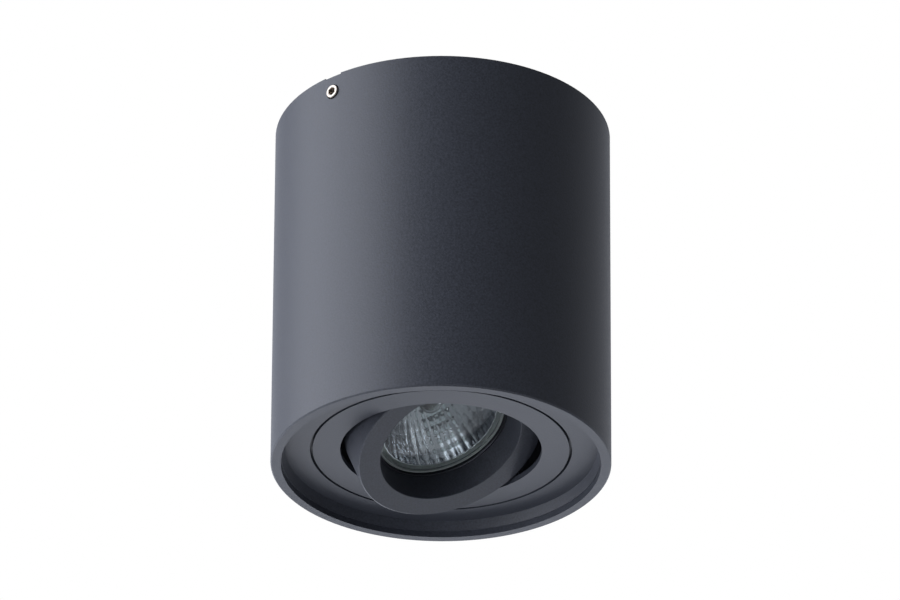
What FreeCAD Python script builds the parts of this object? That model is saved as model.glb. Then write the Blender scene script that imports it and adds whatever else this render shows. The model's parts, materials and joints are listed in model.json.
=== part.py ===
"""Surface mounted ceiling spotlight: a round housing with a lamp cup that swivels and tilts.

Millimetres. The origin is the centre of the face that lies on the ceiling. +Z points up, into the ceiling,
and +X runs along the mounting bracket. The lamp is turned and tilted as in the photograph.
"""

import FreeCAD, Part
import math
import os
import re

import Sketcher
from FreeCAD import Placement, Rotation, Vector

SIZES = {
    # housing tube
    "tube_d": 125.0,  # outside
    "tube_length": 137.0,
    "tube_wall": 3.0,  # above the seat
    "rim_wall": 3.8,  # at the mouth
    "rim_bore_depth": 2.4,  # straight bore inside the mouth
    "rim_ledge": 0.35,  # narrow step at the end of that bore
    "seat_height": 6.05,  # face ring's seat above the mouth
    "seat_land": 2.4,  # width of the seat
    "edge_break": 0.5,
    "notch_width": 7.5,  # in the top rim, over each side screw
    "notch_depth": 0.5,
    # side screws
    "side_screw_drop": 6.9,  # axis below the ceiling
    "side_head_d": 5.2,
    "side_head_height": 2.7,
    "side_socket": 3.0,  # across flats
    "side_socket_depth": 1.8,
    "side_shank_d": 3.0,
    "side_shank_length": 4.5,
    "side_web": 1.0,  # tube wall left under the head
    "head_gap": 0.3,  # round the head in its counterbore
    "hole_gap": 0.2,  # round a shank in a clear hole
    "thread_gap": 0.02,  # round a shank in its thread
    "seat_gap": 0.05,  # between pieces that seat on each other
    # mounting bracket
    "strip_width": 28.0,
    "strip_clearance": 4.0,  # strip's corners to the tube's bore
    "strip_thickness": 1.5,
    "tab_width": 14.0,
    "tab_length": 11.0,  # from the ceiling down
    "tab_clearance": 0.5,  # tab to the tube's bore, on the middle line
    "bend_radius": 1.0,  # inside of the bends
    "slot_spacing": 92.0,
    "slot_length": 12.0,
    "slot_width": 5.0,
    # cable bush
    "bush_x": -16.0,
    "bush_bore": 7.0,
    "bush_d": 12.0,
    "bush_flange_d": 17.0,
    "bush_flange": 3.5,
    "bush_chamfer": 1.0,
    # terminal block
    "block_x": 28.0,
    "block_length": 20.0,
    "block_width": 28.0,
    "block_height": 13.5,
    "pole_pitch": 9.0,
    "barrel_d": 4.8,
    "barrel_bore": 3.0,
    "barrel_length": 16.0,
    "barrel_drop": 7.0,  # barrel's axis below the bracket
    "clamp_pitch": 8.6,  # between a barrel's two screws
    "clamp_screw_d": 2.8,
    "clamp_head_d": 3.6,
    "clamp_head_sink": 1.0,  # head below the block's lower face
    "block_screw_d": 3.0,
    "block_head_d": 5.2,
    "block_head_height": 1.6,
    # earth terminal
    "earth_x": -1.0,
    "earth_y": -7.0,
    "earth_screw_d": 4.0,
    "earth_head_d": 7.0,
    "earth_head_height": 2.4,
    "earth_washer_d": 9.0,
    "earth_sheet": 0.8,  # thickness of washer and lug
    "lug_d": 8.0,
    "lug_barrel_d": 3.0,
    "lug_barrel_length": 5.0,
    "lug_neck": 1.0,  # between the lug's eye and its barrel
    # wires
    "wire_d": 1.9,
    "wire_pair": 2.04,  # between the two wires in the sleeve
    "sleeve_wall": 0.5,
    "sleeve_length": 9.0,
    "sleeve_drop": 33.0,  # sleeve's middle below the ceiling
    # face ring
    "face_width": 11.25,  # from the seam to the tube's bore
    "face_thickness": 2.0,
    "ring_gap": 0.15,  # face ring in the tube's bore
    "seam": 1.0,  # between face ring and swivel ring
    "pillar_d": 6.0,
    "ring_screw_d": 3.0,
    "ring_screw_length": 4.2,
    "ring_head_d": 5.5,
    "ring_head_height": 1.9,
    # snap ring
    "snap_width": 2.6,
    "snap_thickness": 1.5,
    "snap_groove": 0.8,  # into the tube's wall
    "snap_turn": 325.0,  # degrees
    # swivel ring
    "swivel_width": 10.1,  # flat face from the seam in to the ring's hole
    "swivel_thickness": 2.1,
    "flange_lap": 2.9,  # out over the face ring's back
    "flange_root": 2.5,  # in from the ring's edge
    "flange_thickness": 1.2,
    "cup_gap": 1.2,  # between the ring's hole and the cup
    "friction_thickness": 0.8,
    "friction_width": 3.0,
    "retainer_lap": 4.0,  # retainer ring in over the flange
    "retainer_thickness": 1.2,
    # pivot ears
    "ear_thickness": 1.2,
    "ear_width": 12.0,
    "ear_foot": 5.2,
    "ear_foot_width": 16.0,
    "ear_screw_pitch": 11.0,
    "ear_screw_d": 2.0,
    "ear_head_d": 3.8,
    "ear_head_height": 1.2,
    "ear_thread": 1.4,  # into the swivel ring's back
    # pivots
    "boss_d": 8.0,
    "boss_out": 1.1,
    "boss_in": 1.6,
    "washer_thickness": 1.0,
    "washer_d": 8.0,
    "pivot_d": 4.0,
    "pivot_gap": 0.05,  # running fit of the pivot in its ear
    "pivot_thread_d": 3.0,
    "pivot_thread_length": 3.6,
    "pivot_head_d": 6.4,
    "pivot_head_height": 2.0,
    # tilt cup
    "cup_wall": 1.2,
    "throat_wall": 1.2,
    "lip_depth": 10.9,  # lip's face below the pivot axis
    "lip_proud": 0.1,  # lip past the face ring with the lamp straight down
    "lip_thickness": 1.8,
    "lip_break": 0.4,
    "mouth_clearance": 2.3,  # lamp to the mouth, on the radius
    "throat_clearance": 0.65,  # lamp to the throat in front of it, on the radius
    "skirt_rise": 5.5,  # skirt's top above the pivot axis
    "lamp_recess": 11.1,  # lamp's front behind the lip's face
    "lamp_gap": 0.4,
    "shoulder": 1.8,  # ledge behind the lamp's rim, in from its bore
    "shoulder_thickness": 1.8,
    "clip_wire": 1.1,
    "clip_groove": 0.4,  # into the cup's bore
    "clip_turn": 318.0,  # degrees
    "clip_start": 241.0,  # degrees from +X to its first end
    # lamp, a mains reflector lamp of 50 mm with a twist-and-lock base
    "lamp_d": 50.0,
    "lamp_rim": 3.0,
    "lamp_rim_step": 1.9,
    "glass_recess": 0.15,
    "glass_thickness": 1.5,
    "glass_border": 1.0,
    "glass_ledge": 1.2,
    "glass_chamfer": 0.4,
    "reflector_length": 34.0,
    "reflector_waist": 31.0,  # where the bowl meets its neck
    "neck_d": 22.0,
    "bowl_bore": 10.4,  # hole at the bowl's bottom
    "bowl_floor": 29.8,
    "bowl_inner_radius": 50.0,
    "bowl_outer_radius": 60.0,
    "capsule_d": 8.8,
    "capsule_wall": 0.8,
    "capsule_tip": 8.5,  # behind the lamp's front
    "capsule_shoulder": 27.0,
    "pinch_d": 6.4,
    "pinch_start": 29.5,
    "pinch_end": 34.5,
    "pinch_web": 1.0,  # quartz between the capsule's inside and its pinch
    "filament_d": 1.2,
    "filament_height": 17.0,
    "filament_span": 3.8,
    "filament_wire": 0.5,
    "base_d": 25.8,
    "base_lip": 2.5,  # over the reflector's neck
    "base_waist_d": 23.0,
    "base_waist": 40.0,
    "base_taper": 2.0,
    "base_end": 46.5,
    "pin_pitch": 10.0,
    "pin_d": 3.2,
    "pin_length": 4.5,
    "pin_head_d": 4.9,
    "pin_head": 2.0,
    "pin_head_edge": 0.6,
    # lampholder
    "holder_length": 30.0,
    "holder_width": 20.0,
    "holder_height": 15.4,
    "pin_hole_d": 5.2,
    "pin_hole_depth": 8.0,
    "contact_length": 3.6,
    "contact_width": 3.3,
    "contact_thickness": 1.2,
    "cover_thickness": 1.5,
    "cover_inset": 0.5,
    "cover_screw_pitch": 13.0,
    "cover_screw_d": 2.4,
    "cover_screw_length": 7.0,
    "cover_head_d": 4.4,
    "cover_head_height": 1.4,
    # pose in the photograph, degrees
    "swivel_angle": 2.6,
    "tilt_angle": 25.0,
}

# Heights and radii that several pieces share, as formulas of the sizes.
MOUTH_Z = "-tube_length"
FACE_Z = "(seat_height - tube_length)"  # lower face of both rings
PIVOT_Z = f"({FACE_Z} + lip_depth - lip_proud)"
BORE_R = "(tube_d / 2 - tube_wall)"
FACE_BACK = f"({FACE_Z} + face_thickness)"
SWIVEL_R = f"({BORE_R} - ring_gap - face_width - seam)"
HOLE_R = f"({SWIVEL_R} - swivel_width)"
CUP_R = f"({HOLE_R} - cup_gap)"
MOUTH_R = "(lamp_d / 2 + mouth_clearance)"
THROAT_R = "(lamp_d / 2 + throat_clearance)"
FLANGE_R = f"({SWIVEL_R} + flange_lap)"
FLANGE_Z = f"({FACE_Z} + swivel_thickness)"
FLANGE_BACK = f"({FLANGE_Z} + flange_thickness)"
RETAINER_Z = f"({FLANGE_BACK} + friction_thickness + 2 * seat_gap)"
SNAP_R = f"({BORE_R} + snap_groove - seat_gap)"
PILLAR_R = f"(({FLANGE_R} + {SNAP_R} - snap_width) / 2)"
TAB_X = f"({BORE_R} - tab_clearance)"
SIDE_SEAT = f"({BORE_R} + side_web)"
BARREL_Z = "(-strip_thickness - barrel_drop)"
BLOCK_BOTTOM = "(-strip_thickness - block_height)"
BOSS_X = f"({CUP_R} + boss_out)"
EAR_X = f"({BOSS_X} + washer_thickness + 2 * seat_gap)"
EAR_SCREW_X = f"({EAR_X} + (ear_thickness + ear_foot) / 2 + seat_gap)"
LAMP_Z = "(lamp_recess - lip_depth)"  # lamp's front, from the pivot axis
SEAT_R = "(lamp_d / 2 + lamp_gap)"
HOLDER_Z = f"({LAMP_Z} + base_end + 2 * seat_gap)"
HOLDER_TOP = f"({HOLDER_Z} + holder_height)"
CONTACT_Z = f"({LAMP_Z} + base_end + pin_length + pin_head + seat_gap)"
WIRE_R = "(wire_d / 2)"
RING_SCREWS = 3
POLES = (-1, 0, 1)  # earth, neutral, live, along Y

# Proportions of every screw head.
HEAD_EDGE = 0.85  # of its height, where the chamfer starts
HEAD_TOP = 0.92  # of its diameter, across the flat top
DRIVER_SLOT = 0.16  # of its diameter, the slot's width

doc = FreeCAD.newDocument("ceiling_spotlight")
sheet = doc.addObject("Spreadsheet::Sheet", "Sizes")
pieces = {}


def fill_sheet():
    """One row for each size: its name, its value, and the name again as the cell's alias."""
    for row, (alias, number) in enumerate(SIZES.items(), start=1):
        sheet.set(f"A{row}", alias)
        sheet.set(f"B{row}", str(number))
        sheet.setAlias(f"B{row}", alias)
    doc.recompute()


def bound(formula):
    """The formula with the name of each size turned into the name of its cell."""
    return re.sub(r"[a-z_]\w*", lambda word: f"Sizes.{word[0]}" if word[0] in SIZES else word[0], formula)


def value(formula):
    """What a formula of sizes comes to."""
    return float(sheet.evalExpression(bound(formula)))


# Frames. The swivel frame turns about the tube's axis. The cup frame also tilts, and its origin is on the
# pivot axis: its X is that axis, and its -Z is the way that the lamp points.


def swivel_frame():
    return Placement(Vector(0, 0, 0), Rotation(Vector(0, 0, 1), value("swivel_angle")))


def cup_frame():
    tilt = Rotation(Vector(1, 0, 0), -value("tilt_angle"))
    return swivel_frame() * Placement(Vector(0, 0, value(PIVOT_Z)), tilt)


# Building blocks. Every length is a formula of the sizes, bound to the sheet.

UP = Rotation()
DOWN = Rotation(Vector(1, 0, 0), 180)
TO_X = Rotation(Vector(0, 1, 0), 90)
TO_MINUS_X = Rotation(Vector(0, 1, 0), -90)
HALF_TURN = Rotation(Vector(0, 0, 1), 180)


def locate(thing, at, turn=UP):
    """Puts a thing at a point given by three formulas, turned by a rotation."""
    thing.Placement = Placement(Vector(*[value(part) for part in at]), turn)
    for axis, formula in zip("xyz", at):
        thing.setExpression(f"Placement.Base.{axis}", bound(formula))
    return thing


def cylinder(name, radius, length, at=("0", "0", "0"), turn=UP):
    rod = doc.addObject("Part::Cylinder", name)
    rod.setExpression("Radius", bound(radius))
    rod.setExpression("Height", bound(length))
    return locate(rod, at, turn)


def box(name, size, at):
    """A box centred on a point along X and Y, and standing on it."""
    block = doc.addObject("Part::Box", name)
    for side, formula in zip(("Length", "Width", "Height"), size):
        block.setExpression(side, bound(formula))
    corner = (f"({at[0]}) - ({size[0]}) / 2", f"({at[1]}) - ({size[1]}) / 2", at[2])
    return locate(block, corner)


def hexagon(name, flats, length, at):
    prism = doc.addObject("Part::Prism", name)
    prism.Polygon = 6
    prism.setExpression("Circumradius", bound(f"({flats}) / sqrt(3)"))
    prism.setExpression("Height", bound(length))
    return locate(prism, at)


def group(name, members):
    """Separate solids in one object."""
    several = doc.addObject("Part::Compound", name)
    several.Links = members
    return several


def fused(name, members):
    joined = doc.addObject("Part::MultiFuse", name)
    joined.Shapes = members
    return joined


def cut(name, base, tools):
    result = doc.addObject("Part::Cut", name)
    result.Base = base
    result.Tool = tools[0] if len(tools) == 1 else fused(f"{name}_tools", tools)
    return result


def keep(node, thing, frame=None):
    """Names a finished piece, puts it in its frame and lists it for export."""
    thing.Label = node
    if frame is not None:
        thing.Placement = frame
    pieces[node] = thing


def arc_between(start, end, radius):
    """A minor arc from start to end, and which of its ends is the start. It bulges to the right of the way
    from start to end, or to the left if the radius is negative."""
    half = (end - start) / 2
    rise = math.sqrt(max(radius**2 - half.Length**2, 0))
    side = Vector(-half.y, half.x, 0).normalize() * math.copysign(rise, radius)
    centre = start + half + side
    first, last = (start, end) if radius > 0 else (end, start)
    angles = [math.atan2(p.y - centre.y, p.x - centre.x) for p in (first, last)]
    circle = Part.Circle(centre, Vector(0, 0, 1), abs(radius))
    return Part.ArcOfCircle(circle, *angles), 1 if radius > 0 else 2


def pin_point(sketch, edge, end, formulas):
    """Holds one end of an edge at a point given by two formulas."""
    for kind, formula in zip(("DistanceX", "DistanceY"), formulas):
        held = sketch.addConstraint(Sketcher.Constraint(kind, -1, 1, edge, end, value(formula)))
        sketch.setExpression(f"Constraints[{held}]", bound(formula))


def hold_radius(sketch, edge, formula):
    held = sketch.addConstraint(Sketcher.Constraint("Radius", edge, value(formula)))
    sketch.setExpression(f"Constraints[{held}]", bound(formula))


def draw_outline(sketch, points):
    """A closed outline. A point is (x, y), or (x, y, radius) where an arc runs to the next point."""
    spots = [Vector(value(point[0]), value(point[1]), 0) for point in points]
    ends = []
    for spot, after, point in zip(spots, spots[1:] + spots[:1], points):
        if len(point) == 2:
            edge = sketch.addGeometry(Part.LineSegment(spot, after))
            start = 1
        else:
            arc, start = arc_between(spot, after, value(point[2]))
            edge = sketch.addGeometry(arc)
            hold_radius(sketch, edge, point[2].lstrip("-"))
        pin_point(sketch, edge, start, point)
        ends.append((edge, start, 3 - start))
    for (edge, _, end), (following, start, _) in zip(ends, ends[1:] + ends[:1]):
        sketch.addConstraint(Sketcher.Constraint("Coincident", edge, end, following, start))


def draw_circle(sketch, at, radius):
    circle = Part.Circle(Vector(value(at[0]), value(at[1]), 0), Vector(0, 0, 1), value(radius))
    edge = sketch.addGeometry(circle)
    pin_point(sketch, edge, 3, at)
    hold_radius(sketch, edge, radius)


def sketch_on(body, role, name):
    """A sketch on one of the body's own origin planes."""
    plane = [feature for feature in body.Origin.OriginFeatures if feature.Role == role][0]
    sketch = body.newObject("Sketcher::SketchObject", name)
    sketch.AttachmentSupport = [(plane, "")]
    sketch.MapMode = "FlatFace"
    return sketch


def turn_sketch(body, sketch, name, degrees):
    """Revolves a sketch about the body's Z axis."""
    turned_solid = body.newObject("PartDesign::Revolution", f"{name}_turn")
    turned_solid.Profile = sketch
    turned_solid.ReferenceAxis = (sketch, ["V_Axis"])
    turned_solid.setExpression("Angle", bound(degrees))
    return body


def turned(name, points, degrees="360"):
    """A body turned about its Z axis from an outline of (radius, height) points."""
    body = doc.addObject("PartDesign::Body", name)
    sketch = sketch_on(body, "XZ_Plane", f"{name}_profile")
    draw_outline(sketch, points)
    return turn_sketch(body, sketch, name, degrees)


def wire_ring(name, radius, wire_radius, height, degrees):
    """A ring of round wire about the Z axis, open where its turn is short of a whole one."""
    body = doc.addObject("PartDesign::Body", name)
    sketch = sketch_on(body, "XZ_Plane", f"{name}_profile")
    draw_circle(sketch, (radius, height), wire_radius)
    return turn_sketch(body, sketch, name, degrees)


def washer(name, inner, outer, low, high, degrees="360"):
    """A flat ring between two radii and two heights."""
    return turned(name, [(inner, low), (outer, low), (outer, high), (inner, high)], degrees)


def padded(name, role, points, depth, both_ways=False):
    """A body pushed out from an outline on an origin plane."""
    body = doc.addObject("PartDesign::Body", name)
    sketch = sketch_on(body, role, f"{name}_outline")
    draw_outline(sketch, points)
    pad = body.newObject("PartDesign::Pad", f"{name}_pad")
    pad.Profile = sketch
    pad.setExpression("Length", bound(depth))
    pad.Midplane = both_ways
    return body


def oblong(half_length, half_width):
    """An outline with straight sides along X and round ends of two quarter arcs, centred on the origin."""
    straight = f"(({half_length}) - ({half_width}))"
    return [
        (f"-{straight}", f"-({half_width})"),
        (straight, f"-({half_width})", half_width),
        (half_length, "0", half_width),
        (straight, half_width),
        (f"-{straight}", half_width, half_width),
        (f"-({half_length})", "0", half_width),
    ]


def screw(name, head_d, head_height, shank_d, shank_length, at, turn=UP, socket=None):
    """A screw whose head stands on Z = 0, with a hexagon socket or a driver slot."""
    blank = turned(
        f"{name}_blank",
        [
            ("0", f"-({shank_length})"),
            (f"({shank_d}) / 2", f"-({shank_length})"),
            (f"({shank_d}) / 2", "0"),
            (f"({head_d}) / 2", "0"),
            (f"({head_d}) / 2", f"({head_height}) * {HEAD_EDGE}"),
            (f"({head_d}) * {HEAD_TOP} / 2", head_height),
            ("0", head_height),
        ],
    )
    if socket:
        flats, depth = socket
        drive = hexagon(f"{name}_drive", flats, depth, ("0", "0", f"({head_height}) - ({depth})"))
    else:
        size = (head_d, f"({head_d}) * {DRIVER_SLOT}", f"({head_height}) / 2")
        drive = box(f"{name}_drive", size, ("0", "0", f"({head_height}) / 2"))
    return locate(cut(name, blank, [drive]), at, turn)


def ring_spots(number, radius, height):
    """Evenly spaced places on a circle about the Z axis, the first on +Y."""
    for place in range(number):
        angle = 90 + 360 * place / number
        yield f"({radius}) * cos({angle} deg)", f"({radius}) * sin({angle} deg)", height


# Housing


def make_housing_tube():
    """Wall with a seat for the face ring, a groove for the snap ring, and a straight bore in the mouth."""
    tube_r = "(tube_d / 2)"
    rim_r = "(tube_d / 2 - rim_wall)"
    groove_r = f"({BORE_R} + snap_groove)"
    groove_top = f"({FACE_BACK} + snap_thickness + 3 * seat_gap)"
    bore_end = f"({MOUTH_Z} + rim_bore_depth)"
    wall = turned(
        "tube_wall_body",
        [
            (rim_r, MOUTH_Z),
            (f"{tube_r} - edge_break", MOUTH_Z),
            (tube_r, f"{MOUTH_Z} + edge_break"),
            (tube_r, "0"),
            (BORE_R, "0"),
            (BORE_R, groove_top),
            (groove_r, groove_top),
            (groove_r, FACE_BACK),
            (BORE_R, FACE_BACK),
            (BORE_R, FACE_Z),
            (f"{BORE_R} - seat_land", FACE_Z),
            (f"{rim_r} - rim_ledge", bore_end),
            (rim_r, bore_end),
        ],
    )
    tools = []
    for side, turn in ((1, TO_X), (-1, TO_MINUS_X)):
        where = f"{side} * {SIDE_SEAT}"
        name = f"side_hole_{len(tools)}"
        head_r = "side_head_d / 2 + head_gap"
        hole_r = "side_shank_d / 2 + hole_gap"
        inner = f"{side} * ({BORE_R} - tube_wall)"
        tools.append(cylinder(f"{name}_sink", head_r, "tube_wall", (where, "0", "-side_screw_drop"), turn))
        tools.append(cylinder(name, hole_r, "2 * tube_wall", (inner, "0", "-side_screw_drop"), turn))
        notch_at = (f"{side} * (tube_d / 2 - tube_wall / 2)", "0", "-notch_depth")
        tools.append(box(f"{name}_notch", ("2 * tube_wall", "notch_width", "2 * notch_depth"), notch_at))
    keep("housing_tube", cut("tube_cut", wall, tools))


def make_side_screws():
    socket = ("side_socket", "side_socket_depth")
    size = ("side_head_d", "side_head_height", "side_shank_d", "side_shank_length")
    right = screw("side_screw_right", *size, (SIDE_SEAT, "0", "-side_screw_drop"), TO_X, socket)
    left = screw("side_screw_left", *size, (f"-{SIDE_SEAT}", "0", "-side_screw_drop"), TO_MINUS_X, socket)
    keep("side_screws", group("side_screw_pair", [right, left]))


def make_mounting_bracket():
    """A bent strip: wide on the ceiling, with a narrow tab turned down at each end."""
    outer_bend = "(bend_radius + strip_thickness)"
    bend_x = f"({TAB_X} - {outer_bend})"
    inner_x = f"({TAB_X} - strip_thickness)"
    tabs = padded(
        "bracket_tabs",
        "XZ_Plane",
        [
            (f"-{TAB_X}", "-tab_length"),
            (f"-{inner_x}", "-tab_length"),
            (f"-{inner_x}", f"-{outer_bend}", "-bend_radius"),
            (f"-{bend_x}", "-strip_thickness"),
            (bend_x, "-strip_thickness", "-bend_radius"),
            (inner_x, f"-{outer_bend}"),
            (inner_x, "-tab_length"),
            (TAB_X, "-tab_length"),
            (TAB_X, f"-{outer_bend}", outer_bend),
            (bend_x, "0"),
            (f"-{bend_x}", "0", outer_bend),
            (f"-{TAB_X}", f"-{outer_bend}"),
        ],
        "tab_width",
        both_ways=True,
    )
    half_strip = f"sqrt(({BORE_R} - strip_clearance)^2 - (strip_width / 2)^2)"
    size = (f"2 * {half_strip}", "strip_width", "strip_thickness")
    strip = box("bracket_strip", size, ("0", "0", "-strip_thickness"))
    thread = "side_shank_d / 2 + thread_gap"
    deep = "4 * strip_thickness"
    low = "-2 * strip_thickness"
    across = (f"-{TAB_X} - strip_thickness", "0", "-side_screw_drop")
    tools = [
        cylinder("tab_holes", thread, f"2 * {TAB_X} + 2 * strip_thickness", across, TO_X),
        cylinder("bush_hole", "bush_d / 2 + seat_gap", deep, ("bush_x", "0", low)),
        cylinder("earth_hole", "earth_screw_d / 2 + thread_gap", deep, ("earth_x", "earth_y", low)),
    ]
    for side in (-1, 1):
        slot = padded(f"slot_{side + 1}", "XY_Plane", oblong("slot_length / 2", "slot_width / 2"), deep)
        tools.append(locate(slot, (f"{side} * slot_spacing / 2", "0", low)))
        block_hole = ("block_x", f"{side} * pole_pitch / 2", low)
        tools.append(cylinder(f"block_hole_{side + 1}", "block_screw_d / 2 + thread_gap", deep, block_hole))
    keep("mounting_bracket", cut("bracket_cut", fused("bracket_solid", [tabs, strip]), tools))


def make_cable_bush():
    low = "(-strip_thickness - bush_flange)"
    outline = [
        ("bush_bore / 2", low),
        ("bush_flange_d / 2 - bush_chamfer", low),
        ("bush_flange_d / 2", f"{low} + bush_chamfer"),
        ("bush_flange_d / 2", "-strip_thickness - seat_gap"),
        ("bush_d / 2", "-strip_thickness - seat_gap"),
        ("bush_d / 2", "-seat_gap"),
        ("bush_bore / 2", "-seat_gap"),
    ]
    keep("cable_bush", group("bush_in_place", [locate(turned("bush", outline), ("bush_x", "0", "0"))]))


# Terminal block and earth


def pole_y(pole):
    return f"{pole} * pole_pitch"


def clamp_spots():
    """Where the terminal screws stand: two on each pole."""
    for pole in POLES:
        for side in (-1, 1):
            yield f"block_x + {side} * clamp_pitch / 2", pole_y(pole), f"{pole + 1}{side + 1}"


def make_terminal_block():
    size = ("block_length", "block_width", "block_height")
    body = box("block_body", size, ("block_x", "0", BLOCK_BOTTOM))
    tools = []
    bore_r = "barrel_d / 2 + seat_gap"
    for pole in POLES:
        start = ("block_x - block_length", pole_y(pole), BARREL_Z)
        tools.append(cylinder(f"pole_bore_{pole + 1}", bore_r, "2 * block_length", start, TO_X))
    below = f"({BLOCK_BOTTOM} - block_height)"
    head_r = "clamp_head_d / 2 + seat_gap"
    for x, y, tag in clamp_spots():
        tools.append(cylinder(f"clamp_bore_{tag}", head_r, f"{BARREL_Z} - {below}", (x, y, below)))
    hole_r = "block_screw_d / 2 + seat_gap"
    sink_r = "block_head_d / 2 + seat_gap"
    sink = "block_head_height + block_height"
    for side in (-1, 1):
        at = ("block_x", f"{side} * pole_pitch / 2", below)
        tools.append(cylinder(f"fixing_bore_{side + 1}", hole_r, "3 * block_height", at))
        tools.append(cylinder(f"fixing_sink_{side + 1}", sink_r, sink, at))
    keep("terminal_block", cut("block_cut", body, tools))


def make_terminal_barrels():
    barrels = []
    thread_r = "clamp_screw_d / 2 + thread_gap"
    for pole in POLES:
        start = ("block_x - barrel_length / 2", pole_y(pole), BARREL_Z)
        rod = cylinder(f"barrel_rod_{pole + 1}", "barrel_d / 2", "barrel_length", start, TO_X)
        bore = cylinder(f"barrel_bore_{pole + 1}", "barrel_bore / 2", "barrel_length", start, TO_X)
        threads = []
        for side in (-1, 1):
            where = (f"block_x + {side} * clamp_pitch / 2", pole_y(pole), f"{BARREL_Z} - barrel_d")
            threads.append(cylinder(f"thread_{pole + 1}_{side + 1}", thread_r, "barrel_d", where))
        barrels.append(cut(f"barrel_{pole + 1}", rod, [bore, *threads]))
    keep("terminal_barrels", group("barrel_set", barrels))


def make_terminal_screws():
    """Each clamps the wire in its barrel, from below."""
    head_low = f"({BLOCK_BOTTOM} + clamp_head_sink)"
    head_height = f"({BARREL_Z} - barrel_d / 2 - seat_gap - {head_low})"
    reach = "barrel_d / 2 + seat_gap - wire_d / 2 - thread_gap"
    size = ("clamp_head_d", head_height, "clamp_screw_d", reach)
    screws = []
    for x, y, tag in clamp_spots():
        at = (x, y, f"{BARREL_Z} - barrel_d / 2 - seat_gap")
        screws.append(screw(f"clamp_screw_{tag}", *size, at, DOWN))
    keep("terminal_screws", group("clamp_screw_set", screws))


def make_block_screws():
    shank = "block_height - block_head_height + strip_thickness - seat_gap"
    size = ("block_head_d", "block_head_height", "block_screw_d", shank)
    screws = []
    for side in (-1, 1):
        at = ("block_x", f"{side} * pole_pitch / 2", f"{BLOCK_BOTTOM} + block_head_height")
        screws.append(screw(f"block_screw_{side + 1}", *size, at, DOWN))
    keep("block_screws", group("block_screw_pair", screws))


def make_earth_terminal():
    """Lug and washer under the bracket, on a screw from below. The lug's barrel holds the earth wire."""
    lug_low = "(-strip_thickness - earth_sheet)"
    hole_r = "earth_screw_d / 2 + hole_gap"
    sheet_thickness = "earth_sheet - seat_gap"
    eye = cylinder("lug_eye", "lug_d / 2", sheet_thickness, ("earth_x", "earth_y", lug_low))
    tongue_size = ("lug_d / 2 + 2 * lug_neck", "lug_barrel_d", sheet_thickness)
    tongue = box("lug_tongue", tongue_size, ("earth_x + lug_d / 4 + lug_neck", "earth_y", lug_low))
    barrel_z = "-strip_thickness - lug_barrel_d / 2 - seat_gap"
    start = ("earth_x + lug_d / 2 + lug_neck", "earth_y", barrel_z)
    barrel = cylinder("lug_barrel", "lug_barrel_d / 2", "lug_barrel_length", start, TO_X)
    bore_r = f"{WIRE_R} + thread_gap"
    wire_hole = cylinder("lug_bore", bore_r, "2 * lug_barrel_length", start, TO_X)
    under = ("earth_x", "earth_y", f"{lug_low} - earth_sheet")
    eye_hole = cylinder("lug_hole", hole_r, "4 * earth_sheet", under)
    keep("earth_lug", cut("lug_cut", fused("lug_solid", [eye, tongue, barrel]), [wire_hole, eye_hole]))
    ring = washer("washer", hole_r, "earth_washer_d / 2", f"{lug_low} - earth_sheet", lug_low)
    keep("earth_washer", group("washer_in_place", [locate(ring, ("earth_x", "earth_y", "0"))]))
    shank = "strip_thickness + 2 * earth_sheet - seat_gap"
    size = ("earth_head_d", "earth_head_height", "earth_screw_d", shank)
    held = screw("earth_screw_set", *size, under, DOWN)
    keep("earth_screw", group("earth_screw_in_place", [held]))


# Face ring, swivel ring and what holds them


def make_face_ring():
    """Flat ring on the tube's seat, with pillars on its back for the retainer ring."""
    inner = f"({SWIVEL_R} + seam)"
    plate = washer("face_plate", inner, f"{BORE_R} - ring_gap", FACE_Z, FACE_BACK)
    pillars, holes = [], []
    height = f"{RETAINER_Z} - {FACE_BACK}"
    thread_r = "ring_screw_d / 2 + thread_gap"
    thread_low = f"{RETAINER_Z} + retainer_thickness - ring_screw_length - seat_gap"
    for place, (x, y, z) in enumerate(ring_spots(RING_SCREWS, PILLAR_R, FACE_BACK)):
        pillars.append(cylinder(f"pillar_{place}", "pillar_d / 2", height, (x, y, z)))
        thread = cylinder(f"pillar_hole_{place}", thread_r, "2 * ring_screw_length", (x, y, thread_low))
        holes.append(thread)
    keep("face_ring", cut("face_cut", fused("face_solid", [plate, *pillars]), holes))


def make_snap_ring():
    low, high = f"{FACE_BACK} + seat_gap", f"{FACE_BACK} + seat_gap + snap_thickness"
    keep("snap_ring", washer("snap", f"{SNAP_R} - snap_width", SNAP_R, low, high, "snap_turn"))


def make_retainer():
    """Flat ring screwed to the pillars: it keeps the swivel ring down on the face ring."""
    inner = f"({FLANGE_R} - retainer_lap)"
    outer = f"({PILLAR_R} + pillar_d / 2)"
    high = f"({RETAINER_Z} + retainer_thickness)"
    plate = washer("retainer_plate", inner, outer, RETAINER_Z, high)
    holes, screws = [], []
    size = ("ring_head_d", "ring_head_height", "ring_screw_d", "ring_screw_length")
    hole_r = "ring_screw_d / 2 + seat_gap"
    for place, (x, y, z) in enumerate(ring_spots(RING_SCREWS, PILLAR_R, RETAINER_Z)):
        holes.append(cylinder(f"retainer_hole_{place}", hole_r, "2 * retainer_thickness", (x, y, z)))
        screws.append(screw(f"ring_screw_{place}", *size, (x, y, high)))
    keep("retainer_ring", cut("retainer_cut", plate, holes))
    keep("retainer_screws", group("ring_screw_set", screws))
    ring_low = f"({FLANGE_BACK} + seat_gap)"
    outer = f"({FLANGE_R} - seat_gap)"
    ring_high = f"{ring_low} + friction_thickness"
    friction = washer("friction", f"{outer} - friction_width", outer, ring_low, ring_high)
    keep("friction_ring", friction)


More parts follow.
